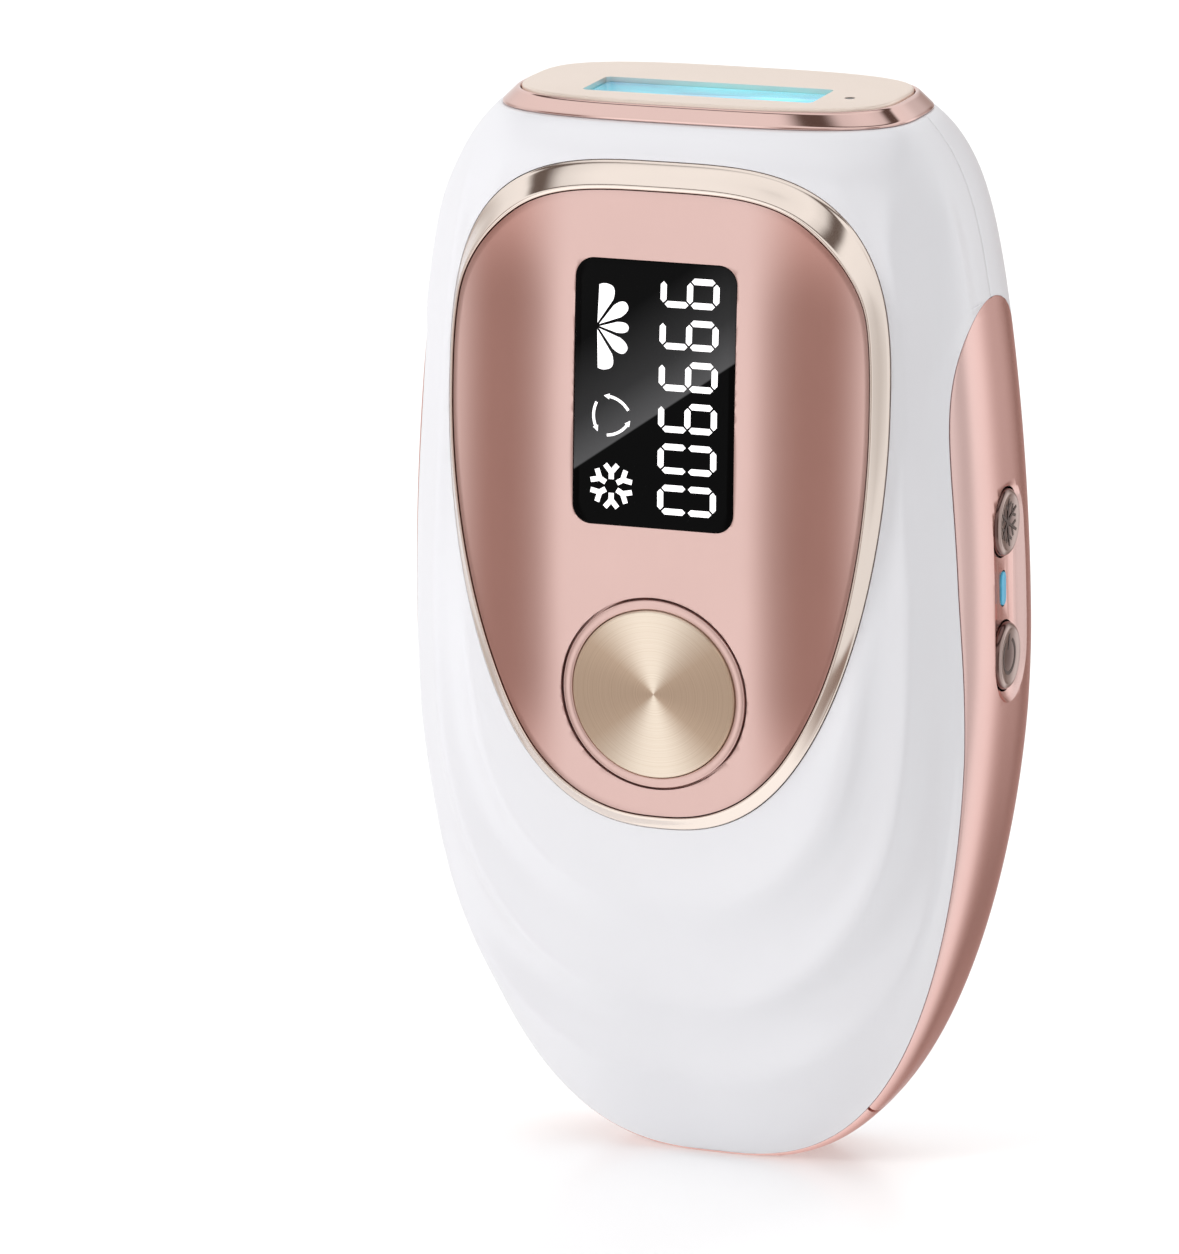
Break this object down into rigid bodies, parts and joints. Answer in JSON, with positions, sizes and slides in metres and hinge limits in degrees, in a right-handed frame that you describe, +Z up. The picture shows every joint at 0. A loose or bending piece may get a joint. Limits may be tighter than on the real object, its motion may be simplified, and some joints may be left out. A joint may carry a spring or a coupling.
{
  "type": "ipl hair remover",
  "caption": "Handheld light-pulse hair remover with a cooled treatment window, a display, a front flash button and side keys.",
  "frame": {"origin": "middle of the object's box, at the underside of the foot", "axes": "+Z up the body to the treatment window; -Y is the control face with the display; +X is the strip with the two side keys"},
  "size_m": [0.0887, 0.0555, 0.1595],
  "materials": {
    "shell_white": "high gloss",
    "rose_panel": "satin, metallic",
    "rose_strip": "satin, metallic",
    "rose_chrome": "polished, rose tint",
    "champagne_chrome": "polished, champagne tint",
    "champagne_satin": "satin, radially brushed",
    "plate_satin": "fine matte, anodised",
    "key_bronze": "satin, metallic",
    "display_black": "polished black lens",
    "ice_glass": "polished sapphire, ice tint",
    "led_cyan": "lit light guide",
    "filter_glass": "polished",
    "black_plastic": "fine matte",
    "grey_plastic": "fine matte",
    "green_board": "solder mask",
    "bare_aluminium": "milled",
    "steel": "zinc plated",
    "copper": "bare copper",
    "ceramic_white": "unglazed"
  },
  "bodies": {
    "body": {"front_shell": "shell_white", "rear_shell": "shell_white", "side_strip_right": "rose_strip", "side_strip_left": "rose_strip", "bottom_cap": "rose_strip", "front_bezel": "champagne_chrome", "front_panel": "rose_panel", "display_lens": "display_black", "display_module": "grey_plastic", "button_ring": "rose_chrome", "flash_switch": "black_plastic", "led_lens": "led_cyan", "side_board": "green_board", "ice_switch": "black_plastic", "power_switch": "black_plastic", "head_collar": "rose_chrome", "head_plate": "plate_satin", "skin_sensor": "black_plastic", "ice_window": "ice_glass", "crystal_holder": "ceramic_white", "filter_glass": "filter_glass", "lamp_reflector": "bare_aluminium", "flash_lamp": "filter_glass", "lamp_cap_left": "ceramic_white", "lamp_cap_right": "ceramic_white", "cold_plate": "copper", "peltier_module": "ceramic_white", "heatsink": "bare_aluminium", "fan_frame": "black_plastic", "vent_grille": "rose_strip", "chassis": "grey_plastic", "main_board": "green_board", "screw_1": "steel", "screw_2": "steel", "screw_3": "steel", "screw_4": "steel", "capacitor_left": "black_plastic", "capacitor_right": "black_plastic", "transformer": "grey_plastic", "trigger_coil": "copper", "dc_jack": "black_plastic"},
    "flash_button_moving": {"flash_button": "champagne_satin"},
    "ice_button_moving": {"ice_button": "key_bronze"},
    "power_button_moving": {"power_button": "key_bronze"},
    "fan_rotor_moving": {"fan_rotor": "black_plastic"}
  },
  "joints": [
    {"name": "flash_button_press", "type": "slide", "parent": "body", "child": "flash_button_moving", "axis": [0, 1, 0], "range_m": [0, 0.0008], "stiffness_N_per_m": 900, "springref_m": -0.0012},
    {"name": "ice_button_press", "type": "slide", "parent": "body", "child": "ice_button_moving", "axis": [-1, 0, 0], "range_m": [0, 0.0005], "stiffness_N_per_m": 900, "springref_m": -0.0012},
    {"name": "power_button_press", "type": "slide", "parent": "body", "child": "power_button_moving", "axis": [-1, 0, 0], "range_m": [0, 0.0005], "stiffness_N_per_m": 900, "springref_m": -0.0012},
    {"name": "fan_spin", "type": "hinge", "parent": "body", "child": "fan_rotor_moving", "pos_m": [0.00008, 0.01872, 0.091], "axis": [0, 1, 0], "continuous": true}
  ]
}
